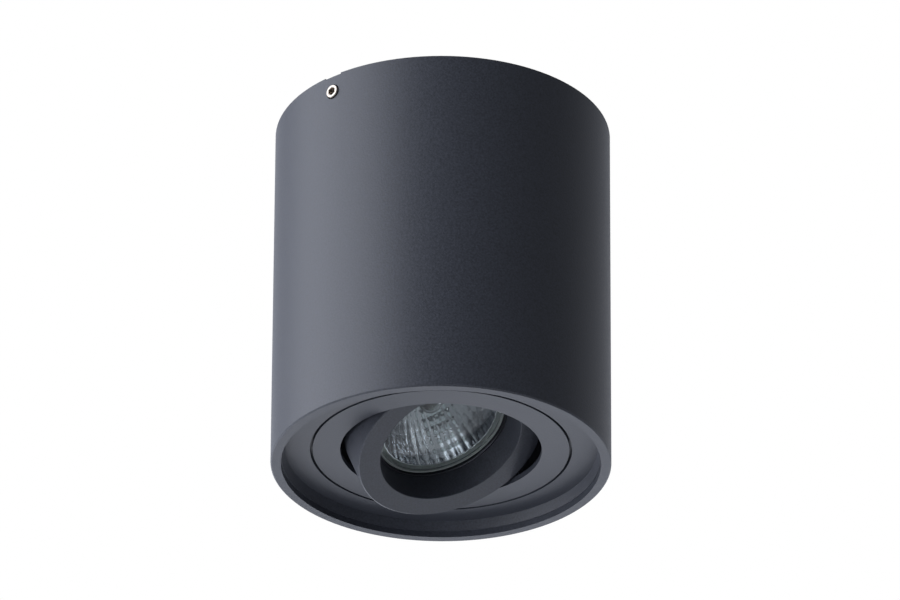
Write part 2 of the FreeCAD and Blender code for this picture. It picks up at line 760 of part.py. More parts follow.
def ear_screw_spots(height):
    for side in (-1, 1):
        for end in (-1, 1):
            yield f"{side} * {EAR_SCREW_X}", f"{end} * ear_screw_pitch / 2", height


def make_swivel_ring():
    """Flush with the face ring below, with a flange that rides on the face ring's back."""
    root_r = f"({SWIVEL_R} - flange_root)"
    ring = turned(
        "swivel_body",
        [
            (HOLE_R, FACE_Z),
            (SWIVEL_R, FACE_Z),
            (SWIVEL_R, FLANGE_Z),
            (FLANGE_R, FLANGE_Z),
            (FLANGE_R, FLANGE_BACK),
            (root_r, FLANGE_BACK),
            (root_r, FLANGE_Z),
            (HOLE_R, FLANGE_Z),
        ],
    )
    holes = []
    thread_r = "ear_screw_d / 2 + thread_gap"
    for place, spot in enumerate(ear_screw_spots(f"{FLANGE_Z} - ear_thread - seat_gap")):
        holes.append(cylinder(f"ear_thread_{place}", thread_r, "2 * ear_thread", spot))
    keep("swivel_ring", cut("swivel_cut", ring, holes), swivel_frame())


def make_pivot_ears():
    """Two angles on the swivel ring's back, which carry the cup's pivots."""
    half = "(ear_width / 2)"
    top = f"({PIVOT_Z} - {FLANGE_Z})"
    outline = [
        (f"-{half}", "0"),
        (half, "0"),
        (half, top, half),
        ("0", f"{top} + {half}", half),
        (f"-{half}", top),
    ]
    foot_size = ("ear_foot", "ear_foot_width", "ear_thickness")
    foot_at = (f"{EAR_X} + ear_foot / 2", "0", FLANGE_Z)
    pivot_at = (f"{EAR_X} - ear_thickness", "0", PIVOT_Z)
    pivot_r = "pivot_d / 2 + pivot_gap"
    hole_r = "ear_screw_d / 2 + seat_gap"
    ears, screws = [], []
    for number, turn in enumerate((UP, HALF_TURN)):
        name = f"ear_{number}"
        plate = padded(f"{name}_plate", "YZ_Plane", outline, "ear_thickness")
        locate(plate, (EAR_X, "0", FLANGE_Z))
        foot = box(f"{name}_foot", foot_size, foot_at)
        tools = [cylinder(f"{name}_hole", pivot_r, "4 * ear_thickness", pivot_at, TO_X)]
        for end in (-1, 1):
            at = (EAR_SCREW_X, f"{end} * ear_screw_pitch / 2", f"{FLANGE_Z} - ear_thickness")
            tools.append(cylinder(f"{name}_screw_hole_{end + 1}", hole_r, "3 * ear_thickness", at))
        ear = cut(name, fused(f"{name}_solid", [plate, foot]), tools)
        ears.append(locate(ear, ("0", "0", "0"), turn))
    size = ("ear_head_d", "ear_head_height", "ear_screw_d", "ear_thickness + ear_thread")
    for place, spot in enumerate(ear_screw_spots(f"{FLANGE_Z} + ear_thickness")):
        screws.append(screw(f"ear_screw_{place}", *size, spot))
    keep("pivot_ears", group("ear_pair", ears), swivel_frame())
    keep("ear_screws", group("ear_screw_set", screws), swivel_frame())


# Tilt cup and its pivots


def make_tilt_cup():
    """Skirt and throat joined by the lip. The throat has the lamp's bore, with a ledge behind the lamp."""
    lip_z = "-lip_depth"
    web_z = "(lip_thickness - lip_depth)"
    throat_out = f"({MOUTH_R} + throat_wall)"
    seat_floor = f"({LAMP_Z} + lamp_rim + seat_gap)"
    seat_top = f"({seat_floor} + shoulder_thickness)"
    groove_r = f"({THROAT_R} + clip_groove)"
    groove_low = f"({LAMP_Z} - clip_wire - 2 * seat_gap)"
    shell = turned(
        "cup_shell",
        [
            (f"{MOUTH_R} + lip_break / 2", lip_z),
            (f"{CUP_R} - lip_break", lip_z),
            (CUP_R, f"{lip_z} + lip_break"),
            (CUP_R, "skirt_rise"),
            (f"{CUP_R} - cup_wall", "skirt_rise"),
            (f"{CUP_R} - cup_wall", web_z),
            (throat_out, web_z),
            (throat_out, seat_top),
            (f"{SEAT_R} - shoulder", seat_top),
            (f"{SEAT_R} - shoulder", seat_floor),
            (SEAT_R, seat_floor),
            (SEAT_R, LAMP_Z),
            (groove_r, LAMP_Z),
            (groove_r, groove_low),
            (THROAT_R, groove_low),
            (MOUTH_R, f"{lip_z} + lip_break / 2"),
        ],
    )
    inner = f"({CUP_R} - cup_wall - boss_in)"
    thread_r = "pivot_thread_d / 2 + thread_gap"
    reach = "2 * pivot_thread_length"
    bosses, holes = [], []
    for side, turn in ((1, TO_X), (-1, TO_MINUS_X)):
        at = (f"{side} * {inner}", "0", "0")
        bosses.append(cylinder(f"boss_{side + 1}", "boss_d / 2", f"{BOSS_X} - {inner}", at, turn))
        hole_at = (f"{side} * ({BOSS_X} - pivot_thread_length - seat_gap)", "0", "0")
        holes.append(cylinder(f"boss_thread_{side + 1}", thread_r, reach, hole_at, turn))
    keep("tilt_cup", cut("cup_cut", fused("cup_solid", [shell, *bosses]), holes), cup_frame())


def make_pivots():
    """Shoulder screws that turn with the cup, in the holes of the ears, and washers under the ears."""
    shoulder = f"({EAR_X} - {BOSS_X} + ear_thickness + seat_gap)"
    screws, washers = [], []
    for side, turn in ((1, TO_X), (-1, TO_MINUS_X)):
        at = (f"{side} * {BOSS_X}", "0", "0")
        blank = turned(
            f"pivot_blank_{side + 1}",
            [
                ("0", "-pivot_thread_length"),
                ("pivot_thread_d / 2", "-pivot_thread_length"),
                ("pivot_thread_d / 2", "0"),
                ("pivot_d / 2", "0"),
                ("pivot_d / 2", shoulder),
                ("pivot_head_d / 2", shoulder),
                ("pivot_head_d / 2", f"{shoulder} + pivot_head_height"),
                ("0", f"{shoulder} + pivot_head_height"),
            ],
        )
        slot_size = ("pivot_head_d", f"pivot_head_d * {DRIVER_SLOT}", "pivot_head_height")
        slot = box(f"pivot_slot_{side + 1}", slot_size, ("0", "0", f"{shoulder} + pivot_head_height / 2"))
        screws.append(locate(cut(f"pivot_{side + 1}", blank, [slot]), at, turn))
        inner, top = "pivot_d / 2 + seat_gap", "washer_thickness + seat_gap"
        ring = washer(f"pivot_washer_{side + 1}", inner, "washer_d / 2", "seat_gap", top)
        washers.append(locate(ring, at, turn))
    keep("pivot_screws", group("pivot_pair", screws), cup_frame())
    keep("pivot_washers", group("pivot_washer_pair", washers), cup_frame())


def make_lamp_spring_ring():
    """Open wire ring that snaps into the cup's groove, in front of the lamp's rim."""
    radius = f"({THROAT_R} + clip_groove - clip_wire / 2 - seat_gap)"
    height = f"{LAMP_Z} - clip_wire / 2 - seat_gap"
    clip = wire_ring("clip", radius, "clip_wire / 2", height, "clip_turn")
    start = Placement(Vector(0, 0, 0), Rotation(Vector(0, 0, 1), value("clip_start")))
    keep("lamp_spring_ring", clip, cup_frame() * start)


# Lamp. Its heights are measured from its front.


def lamp_outline(points):
    """The points with their heights moved from the lamp's front to the cup frame."""
    return [(point[0], f"{LAMP_Z} + ({point[1]})", *point[2:]) for point in points]


def make_lamp_reflector():
    rim_r = "lamp_d / 2"
    glass_floor = "glass_recess + glass_thickness + seat_gap"
    outline = [
        (rim_r, "0"),
        (rim_r, "lamp_rim"),
        (f"{rim_r} - lamp_rim_step", "lamp_rim", "bowl_outer_radius"),
        ("neck_d / 2", "reflector_waist"),
        ("neck_d / 2", "reflector_length"),
        ("bowl_bore / 2", "reflector_length"),
        ("bowl_bore / 2", "bowl_floor", "-bowl_inner_radius"),
        (f"{rim_r} - glass_border - glass_ledge", glass_floor),
        (f"{rim_r} - glass_border", glass_floor),
        (f"{rim_r} - glass_border", "0"),
    ]
    keep("lamp_reflector", turned("reflector", lamp_outline(outline)), cup_frame())


def make_lamp_front_glass():
    low, high = f"{LAMP_Z} + glass_recess", f"{LAMP_Z} + glass_recess + glass_thickness"
    radius = "lamp_d / 2 - glass_border - seat_gap"
    outline = [
        ("0", low),
        (f"{radius} - glass_chamfer", low),
        (radius, f"{low} + glass_chamfer"),
        (radius, high),
        ("0", high),
    ]
    keep("lamp_front_glass", turned("front_glass", outline), cup_frame())


def make_lamp_capsule():
    """Closed quartz bulb with a flat pinch that stands in the base."""
    outer = "capsule_d / 2"
    inner = "(capsule_d / 2 - capsule_wall)"
    outline = [
        ("0", "capsule_tip", outer),
        (outer, f"capsule_tip + {outer}"),
        (outer, "capsule_shoulder"),
        ("pinch_d / 2", "pinch_start"),
        ("pinch_d / 2", "pinch_end"),
        ("0", "pinch_end"),
        ("0", "pinch_start - pinch_web"),
        (inner, "capsule_shoulder - capsule_wall"),
        (inner, f"capsule_tip + capsule_wall + {inner}", f"-{inner}"),
        ("0", "capsule_tip + capsule_wall"),
    ]
    keep("lamp_capsule", turned("capsule", lamp_outline(outline)), cup_frame())


def make_lamp_filament():
    """The coiled filament lies across the capsule between two stiff lead-in wires."""
    height = f"{LAMP_Z} + filament_height"
    length = "filament_span - filament_wire"
    coil = cylinder("coil", "filament_d / 2", length, (f"-({length}) / 2", "0", height), TO_X)
    keep("lamp_filament", group("coil_in_place", [coil]), cup_frame())
    rods = []
    bottom = f"{height} - filament_d / 2"
    slope = "(filament_span / 2 + filament_wire / 2) / (capsule_d / 2 - capsule_wall)"
    floor = "(pinch_start - pinch_web)"
    rise = f"({floor} - capsule_shoulder + capsule_wall)"
    top = f"{LAMP_Z} + {floor} - ({slope}) * {rise} - seat_gap"
    for side in (-1, 1):
        at = (f"{side} * filament_span / 2", "0", bottom)
        rods.append(cylinder(f"lead_in_{side + 1}", "filament_wire / 2", f"{top} - ({bottom})", at))
    keep("filament_leads", group("lead_in_pair", rods), cup_frame())


def make_lamp_base():
    """Ceramic base cemented over the reflector's neck, with the two pins of the twist-and-lock cap."""
    outline = [
        ("0", "pinch_end + seat_gap"),
        ("pinch_d / 2 + 2 * seat_gap", "pinch_end + seat_gap"),
        ("pinch_d / 2 + 2 * seat_gap", "reflector_length + seat_gap"),
        ("neck_d / 2 + 2 * seat_gap", "reflector_length + seat_gap"),
        ("neck_d / 2 + 2 * seat_gap", "reflector_length - base_lip"),
        ("base_d / 2", "reflector_length - base_lip"),
        ("base_d / 2", "base_waist"),
        ("base_waist_d / 2", "base_waist + base_taper"),
        ("base_waist_d / 2", "base_end"),
        ("0", "base_end"),
    ]
    keep("lamp_base", turned("base", lamp_outline(outline)), cup_frame())
    pins = []
    for side in (-1, 1):
        outline = [
            ("0", "0"),
            ("pin_d / 2", "0"),
            ("pin_d / 2", "pin_length"),
            ("pin_head_d / 2", "pin_length"),
            ("pin_head_d / 2", "pin_length + pin_head - pin_head_edge"),
            ("pin_head_d / 2 - pin_head_edge", "pin_length + pin_head"),
            ("0", "pin_length + pin_head"),
        ]
        at = (f"{side} * pin_pitch / 2", "0", f"{LAMP_Z} + base_end")
        pins.append(locate(turned(f"pin_{side + 1}", outline), at))
    keep("lamp_pins", group("pin_pair", pins), cup_frame())


# Lampholder


def pole_tools(name, radius, length, height):
    """One cylinder at each of the lampholder's two poles."""
    for side in (-1, 1):
        yield cylinder(f"{name}_{side + 1}", radius, length, (f"{side} * pin_pitch / 2", "0", height))


def cover_screw_tools(name, radius, length, height):
    for end in (-1, 1):
        yield cylinder(f"{name}_{end + 1}", radius, length, ("0", f"{end} * cover_screw_pitch / 2", height))


def make_lampholder():
    wire_hole = f"{WIRE_R} + hole_gap"
    outline = oblong("holder_length / 2", "holder_width / 2")
    body = padded("holder", "XY_Plane", outline, "holder_height")
    locate(body, ("0", "0", HOLDER_Z))
    screw_low = f"{HOLDER_TOP} + cover_thickness - cover_screw_length - seat_gap"
    thread_r = "cover_screw_d / 2 + thread_gap"
    pin_low = f"{HOLDER_Z} - pin_hole_depth"
    tools = [
        *pole_tools("pin_hole", "pin_hole_d / 2", "2 * pin_hole_depth", pin_low),
        *pole_tools("wire_hole", wire_hole, "2 * holder_height", HOLDER_Z),
        *cover_screw_tools("cover_thread", thread_r, "2 * cover_screw_length", screw_low),
    ]
    keep("lampholder_body", cut("holder_cut", body, tools), cup_frame())
    outline = oblong("holder_length / 2 - cover_inset", "holder_width / 2 - cover_inset")
    plate = padded("cover", "XY_Plane", outline, "cover_thickness")
    locate(plate, ("0", "0", HOLDER_TOP))
    low = f"{HOLDER_TOP} - cover_thickness"
    hole_r = "cover_screw_d / 2 + seat_gap"
    tools = [
        *pole_tools("cover_wire_hole", wire_hole, "3 * cover_thickness", low),
        *cover_screw_tools("cover_hole", hole_r, "3 * cover_thickness", low),
    ]
    keep("lampholder_cover", cut("cover_cut", plate, tools), cup_frame())


def make_lampholder_fittings():
    contacts, screws = [], []
    for side in (-1, 1):
        size = ("contact_length", "contact_width", "contact_thickness")
        contacts.append(box(f"contact_{side + 1}", size, (f"{side} * pin_pitch / 2", "0", CONTACT_Z)))
        size = ("cover_head_d", "cover_head_height", "cover_screw_d", "cover_screw_length")
        at = ("0", f"{side} * cover_screw_pitch / 2", f"{HOLDER_TOP} + cover_thickness")
        screws.append(screw(f"cover_screw_{side + 1}", *size, at))
    keep("lampholder_contacts", group("contact_pair", contacts), cup_frame())
    keep("lampholder_screws", group("cover_screw_pair", screws), cup_frame())


# Wires. A route is straight runs joined by tangent arcs, and its points stay a list chosen by hand.

ROUTE_TRIM = 0.45  # of the shorter run at a corner, taken by the arc


def rounded_route(points):
    """Edges along the points, with an arc at each inner point as large as its two runs allow."""
    edges = []
    radii = []
    start = points[0]
    for before, corner, after in zip(points, points[1:], points[2:]):
        back, on = before - corner, after - corner
        turn = math.pi - back.getAngle(on)
        trim = ROUTE_TRIM * min(back.Length, on.Length)
        radii.append(trim / math.tan(turn / 2))
        back.normalize()
        on.normalize()
        middle = (back + on).normalize()
        to_centre = radii[-1] / math.cos(turn / 2)
        arc_start, arc_end = corner + back * trim, corner + on * trim
        edges.append(Part.LineSegment(start, arc_start).toShape())
        edges.append(Part.Arc(arc_start, corner + middle * (to_centre - radii[-1]), arc_end).toShape())
        start = arc_end
    edges.append(Part.LineSegment(start, points[-1]).toShape())
    return edges, radii


def wire_along(points):
    """One insulated wire along a route."""
    edges, radii = rounded_route(points)
    path = Part.Wire(edges)
    heading = points[1] - points[0]
    section = Part.Wire([Part.Circle(points[0], heading, value(WIRE_R)).toShape()])
    tube = path.makePipeShell([section], True, False)
    ratio = tube.Volume / (math.pi * value(WIRE_R) ** 2 * path.Length)
    tightest = min(radii) / value("wire_d")
    print(f"wire {path.Length:.1f} mm, tightest bend {tightest:.1f} diameters, volume ratio {ratio:.4f}")
    return tube


def keep_wires(node, routes):
    wires = doc.addObject("Part::Feature", f"{node}_run")
    wires.Shape = Part.makeCompound([wire_along(route) for route in routes])
    keep(node, wires)


def barrel_entry(pole):
    """The last two points of a wire in a terminal barrel: before the block, and under the screw."""
    face_x = value("block_x - block_length / 2")
    height, y = value(BARREL_Z), value(pole_y(pole))
    return Vector(face_x - 5, y, height), Vector(face_x + value("block_length") / 3, y, height)


def make_wires():
    pair = value("wire_pair") / 2
    sleeve_z = -value("sleeve_drop")
    split = [Vector(side * pair, 0, sleeve_z) for side in (-1, 1)]
    apart = Vector(0, 0, value("seat_gap"))
    block = [barrel_entry(pole) for pole in POLES]
    live = [split[1] + apart, Vector(pair, 0, -20.5), Vector(4.5, 6.5, -12), *block[2]]
    neutral = [split[0] + apart, Vector(-pair, 0, -18), Vector(3, -1.8, -10.5), *block[1]]
    keep_wires("supply_leads", [live, neutral])
    lamp_side = []
    contact = value(f"{CONTACT_Z} + contact_thickness + seat_gap")
    for side, joint in zip((-1, 1), split):
        pole_x = side * value("pin_pitch") / 2
        start = cup_frame().multVec(Vector(pole_x, 0, contact))
        out = cup_frame().multVec(Vector(pole_x, 0, value(HOLDER_TOP) + 12))
        lamp_side.append([start, out, Vector(side * 3.2, 16, -46.5), Vector(side * pair, 0, -45.5), joint])
    keep_wires("lamp_leads", lamp_side)
    lug_x = value("earth_x + lug_d / 2 + 1.5 * lug_neck")
    lug_z = value("-strip_thickness - lug_barrel_d / 2 - seat_gap")
    lug_y = value("earth_y")
    earth = [Vector(lug_x, lug_y, lug_z), Vector(lug_x + 7, lug_y, lug_z), *block[0]]
    keep_wires("earth_lead", [earth])
    inner = "(wire_pair / 2 + wire_d / 2 + seat_gap)"
    low, high = "-sleeve_drop - sleeve_length / 2", "-sleeve_drop + sleeve_length / 2"
    keep("lead_sleeve", washer("sleeve", inner, f"{inner} + sleeve_wall", low, high), swivel_frame())


def check_and_export():
    doc.recompute()
    failed = [thing.Name for thing in doc.Objects if {"Invalid", "Error"} & set(thing.State)]
    for node, thing in pieces.items():
        if thing.Shape.isNull() or not thing.Shape.isValid() or not thing.Shape.Solids:
            failed.append(node)
    if failed:
        raise RuntimeError(f"failed: {failed}")
    os.makedirs("parts", exist_ok=True)
    for node, thing in pieces.items():
        thing.Shape.exportStep(f"parts/{node}.step")
    print(f"{len(pieces)} pieces, {sum(len(thing.Shape.Solids) for thing in pieces.values())} solids")


def main():
    fill_sheet()
    make_housing_tube()
    make_side_screws()
    make_mounting_bracket()
    make_cable_bush()
    make_terminal_block()
    make_terminal_barrels()
    make_terminal_screws()
    make_block_screws()
    make_earth_terminal()
    make_face_ring()
    make_snap_ring()
    make_retainer()
    make_swivel_ring()
    make_pivot_ears()
    make_tilt_cup()
    make_pivots()
    make_lamp_spring_ring()
    make_lamp_reflector()
    make_lamp_front_glass()
    make_lamp_capsule()
    make_lamp_filament()
    make_lamp_base()
    make_lampholder()
    make_lampholder_fittings()
    make_wires()
    check_and_export()


main()
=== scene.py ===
"""Surface mounted ceiling spotlight: its finishes, the facets of its lamp, its wires and the studio round it.

The file is laid out as an add-on and run as a script. Metres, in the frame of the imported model: the origin is
the centre of the face on the ceiling, +Z points into the ceiling and +X runs along the mounting bracket.
"""

import json
import math

import bmesh
import bpy
from bpy.props import FloatProperty, FloatVectorProperty, IntProperty, PointerProperty
from mathutils import Matrix, Vector


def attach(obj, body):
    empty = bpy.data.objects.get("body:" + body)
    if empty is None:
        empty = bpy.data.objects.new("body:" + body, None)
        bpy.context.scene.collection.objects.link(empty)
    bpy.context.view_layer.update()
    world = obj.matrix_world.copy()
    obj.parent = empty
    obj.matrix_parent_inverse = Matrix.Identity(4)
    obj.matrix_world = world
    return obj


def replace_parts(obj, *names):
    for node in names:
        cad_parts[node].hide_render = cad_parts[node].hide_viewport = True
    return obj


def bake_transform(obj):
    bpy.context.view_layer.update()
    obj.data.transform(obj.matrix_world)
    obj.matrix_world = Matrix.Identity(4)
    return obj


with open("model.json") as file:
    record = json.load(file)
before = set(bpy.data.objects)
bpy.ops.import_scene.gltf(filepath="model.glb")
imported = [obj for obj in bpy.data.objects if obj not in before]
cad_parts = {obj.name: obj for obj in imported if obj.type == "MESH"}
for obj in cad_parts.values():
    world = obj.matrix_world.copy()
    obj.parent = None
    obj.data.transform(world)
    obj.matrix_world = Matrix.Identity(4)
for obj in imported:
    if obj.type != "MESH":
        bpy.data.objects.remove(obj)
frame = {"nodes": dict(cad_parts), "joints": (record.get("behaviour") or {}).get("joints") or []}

bl_info = {
    "name": "Ceiling Spotlight",
    "version": (1, 0, 0),
    "blender": (4, 5, 0),
    "location": "View3D > Sidebar > Spotlight",
    "description": "Dresses a surface mounted ceiling spotlight and lights it for a photograph",
    "category": "Object",
}

MM = 0.001
NODES = frame["nodes"]
TILT_JOINT = next(joint for joint in frame["joints"] if joint["name"] == "tilt")
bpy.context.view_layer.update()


def linear(code):
    """An sRGB hex colour as linear red, green, blue."""
    shares = [int(code[place : place + 2], 16) / 255 for place in (1, 3, 5)]
    return tuple(s / 12.92 if s <= 0.04045 else ((s + 0.055) / 1.055) ** 2.4 for s in shares)


def length(name, millimetres, about):
    return FloatProperty(
        name=name, description=about, default=millimetres * MM, min=0, unit="LENGTH", precision=5
    )


def colour(name, code, about):
    return FloatVectorProperty(
        name=name, description=about, default=linear(code), size=3, min=0, max=1, subtype="COLOR"
    )


def count(name, number, about):
    return IntProperty(name=name, description=about, default=number, min=1)


class SpotlightSizes(bpy.types.PropertyGroup):
    """Sizes that a user would change."""

    tilt: FloatProperty(
        name="Lamp tilt",
        description="Lean of the lamp from straight down, as it stands in the packed model",
        default=math.radians(25),
        subtype="ANGLE",
    )
    lamp_rise: length("Lamp rise", 0.2, "How far the lamp's front stands behind the pivot axis")
    rim_radius: length("Rim radius", 25.0, "Outside of the reflector's rim")
    rim_height: length("Rim height", 3.0, "Cylindrical part of the rim")
    rim_step: length("Rim step", 1.9, "From the rim in to the bowl's outside")
    glass_border: length("Glass border", 1.0, "Rim outside the front glass")
    glass_ledge: length("Glass ledge", 2.4, "Ledge that the front glass lies on")
    glass_floor: length("Glass floor", 1.7, "The ledge's depth behind the front")
    bowl_bottom: length("Bowl bottom", 29.8, "Inside depth of the bowl")
    bowl_hole: length("Bowl hole", 5.2, "Radius of the hole that the capsule stands in")
    bowl_inner_curve: length("Inner curve", 50.0, "Radius of the bowl's inside profile")
    bowl_outer_curve: length("Outer curve", 60.0, "Radius of the bowl's outside profile")
    neck_radius: length("Neck radius", 11.0, "Reflector's neck")
    neck_start: length("Neck start", 31.0, "Where the bowl meets the neck")
    reflector_length: length("Reflector length", 34.0, "From the front to the neck's end")
    facet_columns: count("Facet columns", 36, "Facets round the bowl")
    facet_rows: count("Facet rows", 9, "Rows of facets from the mouth to the hole")
    facet_depth: length("Facet depth", 0.22, "Hollow of a facet at its middle")
    row_depth: FloatProperty(
        name="Row depth", description="Share of a hollow that ends with its row", default=0.75, min=0, max=1
    )
    mouth_roll: length("Mouth roll", 0.4, "Radius of the roll from the ledge into the bowl")
    rim_break: length("Rim break", 0.3, "Bevel round the rim's front")
    coil_height: length("Coil height", 17.0, "Filament behind the lamp's front")
    coil_span: length("Coil span", 3.3, "Filament from end to end")
    coil_radius: length("Coil radius", 0.48, "Middle of the coiled wire")
    coil_wire: length("Coil wire", 0.2, "Thickness of the coiled wire")
    coil_turns: count("Coil turns", 10, "Turns of the filament")
    wire: length("Wire", 1.9, "Diameter over the insulation")
    floor_drop: length("Floor drop", 4000, "From the ceiling down to the floor")
    floor_side: length("Floor side", 7700, "Side of the floor's square")


class SpotlightFinishes(bpy.types.PropertyGroup):
    """Colours that a user would change."""

    coat: colour("Powder coat", "#33363e", "Anthracite coat of the housing, rings and cup")
    zinc: colour("Zinc", "#b9bcc0", "Zinc plated steel")
    nickel: colour("Nickel", "#a59d94", "Nickel plated side screws")
    spring: colour("Spring steel", "#3a3b3f", "Wire and strip springs, blued")
    tungsten: colour("Tungsten", "#6f6c69", "Filament and its lead-in wires")
    brass: colour("Brass", "#c9a45c", "Terminal barrels")
    tin: colour("Tin", "#c6c5c1", "Tinned lug")
    nylon: colour("Nylon", "#e6e5df", "Terminal block")
    rubber: colour("Rubber", "#1b1b1c", "Cable bush")
    fibre: colour("Fibre", "#6d4a33", "Friction ring and pivot washers")
    live: colour("Live", "#5f3a22", "Insulation of the live wires")
    neutral: colour("Neutral", "#2456a0", "Insulation of the neutral wires")
    earth_green: colour("Earth green", "#2f8f3c", "Insulation of the earth wire")
    earth_yellow: colour("Earth yellow", "#e5cf2e", "Stripe of the earth wire")
    sleeve: colour("Sleeve", "#ecebe4", "Braided glass sleeve")
    ceramic: colour("Ceramic", "#ece6d8", "Lamp base and lampholder")
    mirror: colour("Reflector", "#e9ebee", "Aluminium coat inside the lamp")
    glass: colour("Glass", "#f6faf9", "Front glass, rim and capsule")
    floor: colour("Floor", "#efefee", "Floor under the light")
    rim: colour("Rim", "#aab2b0", "Ground rim of the reflector under the edge of the front glass")


# Materials. One function adds a node, and each of the others makes one kind of finish.


def add(tree, kind, inputs=None, **settings):
    """A node with its settings. An input is a value, or the output that it is linked to."""
    node = tree.nodes.new(kind)
    for name, setting in settings.items():
        setattr(node, name, setting)
    for socket, source in (inputs or {}).items():
        if isinstance(source, bpy.types.NodeSocket):
            tree.links.new(source, node.inputs[socket])
        else:
            node.inputs[socket].default_value = source
    return node


def shaded(name, base, sockets):
    """A material with its base colour and other sockets of its shader set, its tree and its shader."""
    material = bpy.data.materials.new(name)
    material.use_nodes = True
    shader = material.node_tree.nodes["Principled BSDF"]
    shader.inputs["Base Color"].default_value = (*base, 1)
    for socket, setting in sockets.items():
        shader.inputs[socket].default_value = setting
    return material, material.node_tree, shader


# A grain's noise runs from its dark end to its light end between these values.
GRAIN_ENDS = (0.3, 0.7)


def grained(name, base, grain, height, tone, roughness, stretch=(1, 1, 1), **sockets):
    """A finish with a grain of a size in metres. It varies the colour by the share tone and the roughness
    between two values, and it stands up by height."""
    sockets = {key.replace("_", " "): setting for key, setting in sockets.items()}
    material, tree, shader = shaded(name, base, sockets)
    place = add(tree, "ShaderNodeTexCoord")
    mapping = add(tree, "ShaderNodeMapping", {"Vector": place.outputs["Object"], "Scale": stretch})
    noise = add(
        tree, "ShaderNodeTexNoise", {"Vector": mapping.outputs[0], "Scale": 1 / grain, "Detail": 3.0}
    )
    dark = [channel * (1 - tone) for channel in base]
    light = [min(1, channel * (1 + tone)) for channel in base]
    ramp = add(tree, "ShaderNodeValToRGB", {"Fac": noise.outputs["Fac"]})
    for element, position, shade in zip(ramp.color_ramp.elements, GRAIN_ENDS, (dark, light)):
        element.position = position
        element.color = (*shade, 1)
    tree.links.new(ramp.outputs["Color"], shader.inputs["Base Color"])
    ends = dict(zip(("From Min", "From Max", "To Min", "To Max"), GRAIN_ENDS + roughness))
    rough = add(tree, "ShaderNodeMapRange", {"Value": noise.outputs["Fac"], **ends})
    tree.links.new(rough.outputs["Result"], shader.inputs["Roughness"])
    bump = add(tree, "ShaderNodeBump", {"Height": noise.outputs["Fac"], "Distance": height})
    tree.links.new(bump.outputs["Normal"], shader.inputs["Normal"])
    return material


def powder_coat(base):
    """Polyester powder coat, sprayed on aluminium and baked: matt, finely textured, with a broad soft sheen.
    Its grain is about a third of a millimetre across, and is drawn twice as coarse so that it shows."""
    return grained("powder_coat", base, 0.7 * MM, 0.05 * MM, 0.32, (0.44, 0.58))


def zinc_plate(base):
    """Steel sheet and screws, bright zinc plated: a grey metal with faint cloudy patches."""
    return grained("zinc_plate", base, 3 * MM, 0.002 * MM, 0.08, (0.28, 0.4), Metallic=1.0)


def nickel_plate(base):
    """Nickel plate on a turned screw: bright and slightly warm, with faint turning marks."""
    return grained("nickel_plate", base, 0.3 * MM, 0.001 * MM, 0.05, (0.14, 0.22), (1, 4, 4), Metallic=1.0)


def spring_steel(base):
    """Hard drawn spring wire, blued and oiled: a dark metal with draw lines."""
    return grained("spring_steel", base, 0.4 * MM, 0.002 * MM, 0.1, (0.25, 0.38), (1, 1, 5), Metallic=1.0)


def turned_brass(base):
    """Free cutting brass, turned: yellow metal with fine rings."""
    return grained("turned_brass", base, 0.3 * MM, 0.002 * MM, 0.06, (0.22, 0.32), (6, 1, 1), Metallic=1.0)


def tinned_copper(base):
    """Stamped copper, tinned by dipping: pale metal, a little uneven."""
    return grained("tinned_copper", base, 1.5 * MM, 0.006 * MM, 0.06, (0.3, 0.42), Metallic=1.0)


def moulded_nylon(base):
    """Injection moulded polyamide: off-white and slightly waxy, with a fine spark-eroded texture."""
    return grained("moulded_nylon", base, 0.35 * MM, 0.008 * MM, 0.03, (0.42, 0.52))


def moulded_rubber(base):
    """Moulded rubber: black and dull, with a faint bloom."""
    return grained("moulded_rubber", base, 1.2 * MM, 0.01 * MM, 0.15, (0.62, 0.75))


def pressed_fibre(base):
    """Vulcanised fibre, punched from sheet: brown and dry, with short fibres in its face."""
    return grained("pressed_fibre", base, 0.5 * MM, 0.01 * MM, 0.2, (0.7, 0.85), (1, 4, 1))


def tungsten_wire(base):
    """Drawn tungsten: dark grey and fairly dull."""
    return grained("tungsten_wire", base, 0.1 * MM, 0.001 * MM, 0.08, (0.3, 0.4), Metallic=1.0)


def steatite(base):
    """Pressed steatite, fired without a glaze: cream, matt and very slightly speckled."""
    return grained("steatite", base, 0.5 * MM, 0.012 * MM, 0.04, (0.5, 0.62))


def insulation(name, base):
    """Extruded silicone over the wire: a soft satin skin with faint drag marks."""
    return grained(name, base, 0.8 * MM, 0.004 * MM, 0.06, (0.38, 0.48))


